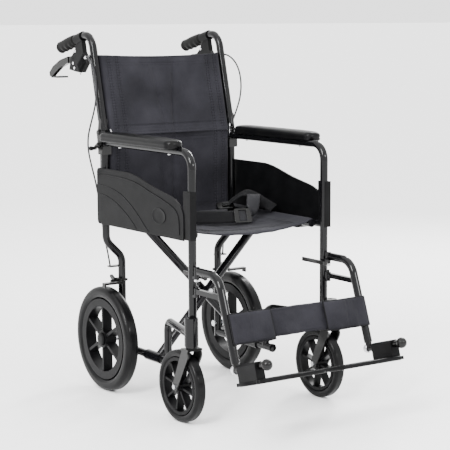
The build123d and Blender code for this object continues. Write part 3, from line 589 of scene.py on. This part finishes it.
face_out = (-0.30, -0.80, 0.52)
bar_line = (0.90, -0.32, 0.0)
slider = rounded_plate("belt_slider", (0.0640, -0.0125, 0.5190), (0.050, 0.044, 0.004), 0.006, bar_line, face_out,
                       MAT["gloss_plastic"], "gloss_plastic", hole=(0.022, 0.034))
buckle = rounded_plate("belt_buckle", (0.108, 0.140, 0.5260), (0.052, 0.034, 0.013), 0.009, (0.8, -0.4, 0.25),
                       (-0.2, -0.4, 0.9), MAT["gloss_plastic"], "gloss_plastic")
button = rounded_plate("belt_button", (0.1063, 0.1364, 0.5330), (0.020, 0.016, 0.003), 0.004, (0.8, -0.4, 0.25),
                       (-0.2, -0.4, 0.9), MAT["black_plastic"], "black_plastic", bevel=0.0008)
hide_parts("lap_belt")
for piece in (right_belt, right_fold, middle_belt, belt_loop, belt_tail, slider, buckle, button):
    seat_blend(piece)

# --- calf strap -------------------------------------------------------------------------------------
strap_low, strap_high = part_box("calf_strap")
LEAN = math.radians(19.8)
HANGER_TOP = (-0.305, 0.414)


def strap_point(x, z, forward):
    """A point forward of the line of the two hangers' sloping tubes."""
    y = HANGER_TOP[0] - (HANGER_TOP[1] - z) * math.tan(LEAN)
    return x, y - forward, z


def strap_grid(x0, x1, z0, z1, forward, cols, rows, seed, belly=0.0):
    grid = np.zeros((cols, rows, 3))
    for i, s in enumerate(np.linspace(0, 1, cols)):
        for j, t in enumerate(np.linspace(0, 1, rows)):
            x, z = x0 + (x1 - x0) * s, z0 + (z1 - z0) * t
            sag = belly * math.sin(math.pi * s)
            grid[i, j] = strap_point(x, z, forward - sag + wrinkle(x, z, seed, 2.8) * min(1, 6 * s, 6 * (1 - s)))
    return grid


band_z = (strap_low[2] + 0.001, strap_high[2] - 0.001)
middle_grid = strap_grid(-0.150, 0.150, band_z[0] + 0.002, band_z[1] - 0.002, 0.0150, 90, 26, 7.7, 0.010)
middle_band = thick_sheet("calf_band", middle_grid, hem_thickness(middle_grid, 0.0045, -0.0018, 2),
                          MAT["nylon"], "nylon")
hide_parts("calf_strap")
squashed(middle_band, "right_hanger")
band_seam = stitches("calf_band_stitching", [grid_line(middle_grid, r, True, lift=0.004)[2:-2] for r in (2, 23)])
squashed(band_seam, "right_hanger")
for name, x0, x1 in (("right", -0.2225, -0.092), ("left", 0.082, 0.2225)):
    end_grid = strap_grid(x0, x1, band_z[0], band_z[1], 0.0178, 60, 26, 2.2 + x0)
    depth = np.zeros(end_grid.shape[:2])
    for i, s in enumerate(np.linspace(0, 1, 60)):
        for j, t in enumerate(np.linspace(0, 1, 26)):
            pillow = min(1.0, 9 * t, 9 * (1 - t)) * min(1.0, 12 * s, 12 * (1 - s), 16 * abs(s - 0.5) + 0.35)
            depth[i, j] = 0.0030 + 0.0070 * pillow**0.5
    end_panel = thick_sheet(f"calf_pad_{name}", end_grid, depth, MAT["nylon"], "nylon")
    squashed(end_panel, "right_hanger")
    edge = [end_grid[i, j] for i, j in [(k, 0) for k in range(60)] + [(59, k) for k in range(1, 26)]
            + [(k, 25) for k in range(58, -1, -1)] + [(0, k) for k in range(24, -1, -1)]]
    piping = tube(f"calf_piping_{name}", edge, 0.0019, MAT["webbing"], "webbing", 8)
    squashed(piping, "right_hanger")
    seam_lines = [grid_line(end_grid, c, False, lift=0.004) for c in (28, 31)]
    seam_lines += [grid_line(end_grid, r, True, lift=0.005)[2:-2] for r in (2, 23)]
    seam = stitches(f"calf_stitching_{name}", seam_lines)
    squashed(seam, "right_hanger")

# --- brake cables -----------------------------------------------------------------------------------
CABLE_R = 0.0025
LOWER_CABLE = [(236, 298, 612), (226, 297, 560), (219, 295, 505), (213, 294, 450), (203, 290, 402),
               (198, 287, 362.3)]
RIGHT_CABLE = [(226.8, 345.4, 964), (237, 326, 965.5), (248, 303, 958), (243, 290, 938), (236, 287, 908),
               (235, 286, 872), (237, 286, 838), (244, 287, 806), (254, 289, 772), (261, 293, 736),
               (258, 297, 697), (247, 299, 654)]
LEFT_CABLE = [(226.8, 345.5, 964), (235, 319, 967), (257, 304, 946), (272, 300, 914), (278, 299, 874),
              (274, 299, 834), (262, 301, 797), (251, 308, 762), (247, 312, 722), (245, 310, 684),
              (241, 303, 648)]
for side_name, side, upper_points in (("right", -1, RIGHT_CABLE), ("left", 1, LEFT_CABLE)):
    route = [(side * x / 1000, y / 1000, z / 1000) for x, y, z in upper_points + LOWER_CABLE]
    curve = bpy.data.curves.new(f"{side_name}_route", "CURVE")
    curve.dimensions = "3D"
    curve.resolution_u = 8
    spline = curve.splines.new("NURBS")
    spline.points.add(len(route) - 1)
    for control, point in zip(spline.points, route):
        control.co = (*point, 1)
    spline.order_u = 3
    spline.use_endpoint_u = True
    guide = bpy.data.objects.new(f"{side_name}_route", curve)
    bpy.context.collection.objects.link(guide)
    line = bpy.data.meshes.new_from_object(guide)
    path = [tuple(v.co) for v in line.vertices]
    bpy.data.objects.remove(guide)
    cable = tube(f"{side_name}_cable", path, CABLE_R, MAT["cable_jacket"], "cable_jacket", 14)
    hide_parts(f"{side_name}_brake_cable")
    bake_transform(cable)


# --- turned and small pieces on the frame -------------------------------------------------------
def turned(name, start, end, profile, material, slot, body, sides=28):
    """A turned piece: profile is a list of (share of the length, radius)."""
    a, b = Vector(start), Vector(end)
    path = [a + (b - a) * s for s, r in profile]
    made = tube(name, path, [r for s, r in profile], material, slot, sides)
    made.data.set_sharp_from_angle(angle=math.radians(35))
    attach(made, body)
    return made


def button_head(name, at, direction, radius, height, material, slot, body):
    """A domed head with a small dimple in its middle."""
    a = Vector(at)
    profile = [(0, radius), (0.45, radius), (0.8, radius * 0.82), (0.97, radius * 0.45),
               (1.0, radius * 0.42), (0.7, radius * 0.36)]
    return turned(name, a, a + Vector(direction).normalized() * height, profile, material, slot, body)


def panel_relief(side_name, side):
    """Raised bead and shallow curved band on a side panel, standing off its outer face."""
    face_x = side * 0.2364
    bead = smooth_path([(0.280, 0.632), (0.220, 0.633), (0.130, 0.631), (0.060, 0.622), (0.000, 0.607),
                        (-0.070, 0.590), (-0.120, 0.574), (-0.140, 0.558), (-0.147, 0.535), (-0.148, 0.505)], 120)
    made = tube(f"{side_name}_panel_bead", [(face_x, y, z) for y, z in bead], 0.0016,
                MAT["black_plastic"], "black_plastic", 8)
    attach(made, f"{side_name}_frame")
    band_edges = (("upper", [(0.284, 0.603), (0.215, 0.598), (0.155, 0.585), (0.100, 0.560), (0.060, 0.534),
                             (0.030, 0.512), (0.008, 0.496)]),
                  ("lower", [(0.284, 0.577), (0.235, 0.573), (0.180, 0.558), (0.130, 0.535), (0.092, 0.512),
                             (0.072, 0.496)]))
    for edge_name, points in band_edges:
        line = smooth_path(points, 90)
        made = tube(f"{side_name}_panel_band_{edge_name}", [(face_x - side * 0.0003, y, z) for y, z in line],
                    0.0012, MAT["black_plastic"], "black_plastic", 8)
        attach(made, f"{side_name}_frame")
    rings, count = [(0.0, 1.0), (0.0012, 1.0), (0.0018, 0.97), (0.0014, 0.90), (0.0010, 0.86), (0.0012, 0.5)], 56
    verts = [(side * (0.2358 + rise), -0.047 + 0.0345 * share * math.cos(a), 0.545 + 0.0222 * share * math.sin(a))
             for rise, share in rings for a in (2 * math.pi * k / count for k in range(count))]
    faces = [tuple(range(count - 1, -1, -1)), tuple(range(5 * count, 6 * count))]
    faces += [(r * count + k, r * count + (k + 1) % count, (r + 1) * count + (k + 1) % count, (r + 1) * count + k)
              for r in range(5) for k in range(count)]
    made = new_object(f"{side_name}_panel_oval", verts, faces, MAT["black_plastic"], "black_plastic")
    made.data.flip_normals()
    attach(made, f"{side_name}_frame")


def soft_pad(side_name):
    """The arm pad: a crowned foam pad with a moulded seam round it."""
    source = nodes[f"{side_name}_arm_pad"]
    mesh = source.data.copy()
    pad = bpy.data.objects.new(f"{side_name}_armrest_pad", mesh)
    bpy.context.collection.objects.link(pad)
    mesh.transform(source.matrix_world)
    mesh.materials.clear()
    mesh.materials.append(MAT["pad_foam"])
    remesh = pad.modifiers.new("remesh", "REMESH")
    remesh.mode, remesh.voxel_size, remesh.use_smooth_shade = "VOXEL", 0.0028, True
    blur = pad.modifiers.new("smooth", "SMOOTH")
    blur.factor, blur.iterations = 0.5, 8
    depsgraph = bpy.context.evaluated_depsgraph_get()
    final = bpy.data.meshes.new_from_object(pad.evaluated_get(depsgraph))
    pad.modifiers.clear()
    pad.data = final
    lo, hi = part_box(f"{side_name}_arm_pad")
    mid = (Vector(lo) + Vector(hi)) / 2
    for v in final.vertices:
        top = max(0.0, (v.co.z - mid.z) / (hi[2] - mid.z))
        u = (v.co.x - mid.x) / (hi[0] - mid.x)
        w = (v.co.y - mid.y) / (hi[1] - mid.y)
        v.co.z += 0.0045 * top * (1 - u * u) * (1 - w**6) + 0.0005 * noise.noise(v.co * 30)
        seam = math.exp(-((v.co.z - lo[2] - 0.010) / 0.0016) ** 2)
        v.co.x -= 0.0011 * seam * (1 if u > 0 else -1) * min(1, abs(u) * 2)
        v.co.y -= 0.0011 * seam * (1 if w > 0 else -1) * (abs(w) > 0.93)
    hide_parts(f"{side_name}_arm_pad")
    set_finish(pad, "pad_foam")
    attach(pad, f"{side_name}_frame")


def finger_grip(side_name, side):
    """The rubber push grip: a barrel with a flared end and finger waves along its underside."""
    corner, back, up = (0.339, 1.033), (math.cos(TILT), -math.sin(TILT)), (math.sin(TILT), math.cos(TILT))
    count, rows = 32, 72
    verts = []
    for i in range(rows):
        s = i / (rows - 1)
        along = 0.0885 + 0.1065 * s
        closing = min(1.0, 0.35 + 9 * s, 0.42 + 6.5 * (1 - s))
        swell = 0.0162 + 0.0016 * math.sin(math.pi * min(1, s * 1.2)) + 0.0030 * max(0, (s - 0.78) / 0.22) ** 2
        for k in range(count):
            a = 2 * math.pi * k / count
            under = max(0.0, -math.sin(a))
            wave = 0.0022 * under**1.5 * math.cos(2 * math.pi * 4.4 * s + 0.6) * min(1, 8 * s, 8 * (1 - s))
            tread = 0.0004 * math.cos(18 * a) * min(1, 6 * s, 6 * (1 - s))
            r = (swell + wave + tread) * closing**0.5
            lift = r * math.sin(a)
            verts.append((side * POST_X + r * 0.94 * math.cos(a), corner[0] + along * back[0] + lift * up[0],
                          corner[1] + along * back[1] + lift * up[1]))
    faces = [(i * count + k, i * count + (k + 1) % count, (i + 1) * count + (k + 1) % count, (i + 1) * count + k)
             for i in range(rows - 1) for k in range(count)]
    faces += [tuple(range(count - 1, -1, -1)), tuple((rows - 1) * count + k for k in range(count))]
    made = new_object(f"{side_name}_grip_rubber", verts, faces, MAT["rubber_grip"], "rubber_grip")
    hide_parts(f"{side_name}_hand_grip")
    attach(made, f"{side_name}_cane")


for side_name, side in SIDES:
    body = f"{side_name}_frame"
    finger_grip(side_name, side)
    panel_relief(side_name, side)
    soft_pad(side_name)
    for k, y in enumerate((-0.075, 0.185)):
        button_head(f"{side_name}_pad_screw_{k}", (side * 0.219, y, 0.7135), (0, 0, -1), 0.0045, 0.003, pale_steel,
                    "bright_steel", body)
    # rivets and ribs on the brake bracket, and the barrel that the cable leaves it by
    for k, (y, z) in enumerate(((0.423, 0.979), (0.436, 0.944), (0.429, 0.930))):
        button_head(f"{side_name}_rivet_{k}", (side * 0.2119, y, z), (-side, 0, 0), 0.0042, 0.0022, pale_steel,
                    "bright_steel", f"{side_name}_cane")
        button_head(f"{side_name}_rivet_out_{k}", (side * 0.2261, y, z), (side, 0, 0), 0.0042, 0.0022, pale_steel,
                    "bright_steel", f"{side_name}_cane")
    for k in range(7):
        y0, z0 = 0.359 + 0.0052 * k, 0.9445 - 0.0048 * k
        rib = [(side * 0.2266, y0, z0 - 0.004), (side * 0.2274, y0 + 0.010, z0 + 0.012),
               (side * 0.2266, y0 + 0.019, z0 + 0.026)]
        ride_rib = tube(f"{side_name}_bracket_rib_{k}", rib, 0.0011, MAT["black_plastic"], "black_plastic", 8)
        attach(ride_rib, f"{side_name}_cane")
    barrel_end = (side * 0.2270, 0.3445, 0.9642)
    turned(f"{side_name}_cable_barrel", (side * 0.2252, 0.364, 0.9612), barrel_end,
           [(0, 0.0046), (0.25, 0.0052), (0.3, 0.0046), (0.62, 0.0046), (0.7, 0.0036), (1.0, 0.0032)],
           pale_steel, "bright_steel", f"{side_name}_cane")
    # cap and small bosses on the wheel hub
    turned(f"{side_name}_hub_cap", (side * 0.2424, 0.270, 0.152), (side * 0.2452, 0.270, 0.152),
           [(0, 0.0182), (0.5, 0.0176), (0.85, 0.0150), (1.0, 0.0090)], MAT["wheel_plastic"], "wheel_plastic",
           f"{side_name}_rear_wheel")
    for k in range(6):
        a = math.radians(30 + 60 * k)
        turned(f"{side_name}_rim_boss_{k}", (side * 0.2379, 0.270 + 0.030 * math.cos(a), 0.152 + 0.030 * math.sin(a)),
               (side * 0.2372, 0.270 + 0.0305 * math.cos(a), 0.152 + 0.0305 * math.sin(a)),
               [(0, 0.002), (1, 0.002)], MAT["wheel_plastic"], "wheel_plastic", f"{side_name}_rear_wheel", 12)
    # moulded rim round the footplate, at the middle of its thickness, and treads on its top
    normal, forward = np.array((0, 0.2823, 0.9593)), np.array((0, -0.9593, 0.2823))
    plate_mid = np.array((0, -0.448, 0.2025)) - 0.0385 * normal
    reach, corner = 0.0505, 0.014
    rim = [((0.231 if cx > 0 else 0.0265) - cx * corner + corner * math.cos(math.radians(a)),
            cz * (reach - corner) + corner * math.sin(math.radians(a)))
           for cx, cz, a0 in ((1, 1, 0), (-1, 1, 90), (-1, -1, 180), (1, -1, 270))
           for a in (a0, a0 + 22.5, a0 + 45, a0 + 67.5, a0 + 90)]
    rim.append(rim[0])
    made = tube(f"{side_name}_footplate_rim",
                [np.array((side * x, 0, 0)) + plate_mid + forward * along for x, along in rim], 0.0058,
                MAT["black_plastic"], "black_plastic", 14)
    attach(made, f"{side_name}_footplate")
    for k in range(9):
        x0 = 0.050 + 0.020 * k
        rib = [np.array((side * x0, 0, 0)) + plate_mid + normal * 0.0049 + forward * a for a in (-0.040, 0.0, 0.040)]
        made = tube(f"{side_name}_tread_{k}", rib, 0.0017, MAT["rubber_grip"], "rubber_grip", 8)
        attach(made, f"{side_name}_footplate")
    # silver collar at the foot of the hanger
    foot = joint_at[f"{side_name}_footplate_flip"]
    turned(f"{side_name}_foot_collar", (side * 0.219, foot[1] + 0.001, foot[2] - 0.0003),
           (side * 0.219, foot[1] - 0.0105, foot[2] + 0.0031),
           [(0, 0.0088), (0.05, 0.0118), (0.9, 0.0118), (1.0, 0.0088)], pale_steel, "bright_steel",
           f"{side_name}_footrest_tube")
    # knob on the half-fold release, spring piece at the hinge and nut on the axis of the hanger's swing
    knob_z = joint_at[f"{side_name}_back_release_press"][2] - 0.014
    turned(f"{side_name}_release_knob", (side * 0.2455, 0.294, knob_z), (side * 0.2545, 0.294, knob_z),
           [(0, 0.0040), (0.1, 0.0062), (0.8, 0.0066), (1.0, 0.0048)], MAT["black_plastic"], "black_plastic",
           f"{side_name}_back_release")
    zig = [(side * 0.2065, 0.262, 0.760), (side * 0.2045, 0.259, 0.752), (side * 0.2052, 0.262, 0.741),
           (side * 0.2035, 0.258, 0.733), (side * 0.2048, 0.262, 0.722)]
    spring = ribbon(f"{side_name}_hinge_spring", zig, 0.009, pale_steel, "bright_steel", (0, 1, 0), 0.0012, 5)
    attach(spring, body)
    pin_y = joint_at[f"{side_name}_hanger_swing"][1]
    turned(f"{side_name}_hanger_nut", (side * 0.219, pin_y, 0.3925), (side * 0.219, pin_y, 0.3865),
           [(0, 0.0068), (0.1, 0.0074), (0.9, 0.0074), (1, 0.0066)], pale_steel, "bright_steel", body, 6)

# --- floor --------------------------------------------------------------------------------------------
floor = new_object("floor", [(-400, -400, 0), (400, -400, 0), (400, 400, 0), (-400, 400, 0)], [(0, 1, 2, 3)],
                   moulded("pale_floor", (0.94, 0.94, 0.94), (0.96, 0.96, 0.96), 0.6, 40, 0.02), "black_plastic")
del floor["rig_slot"]
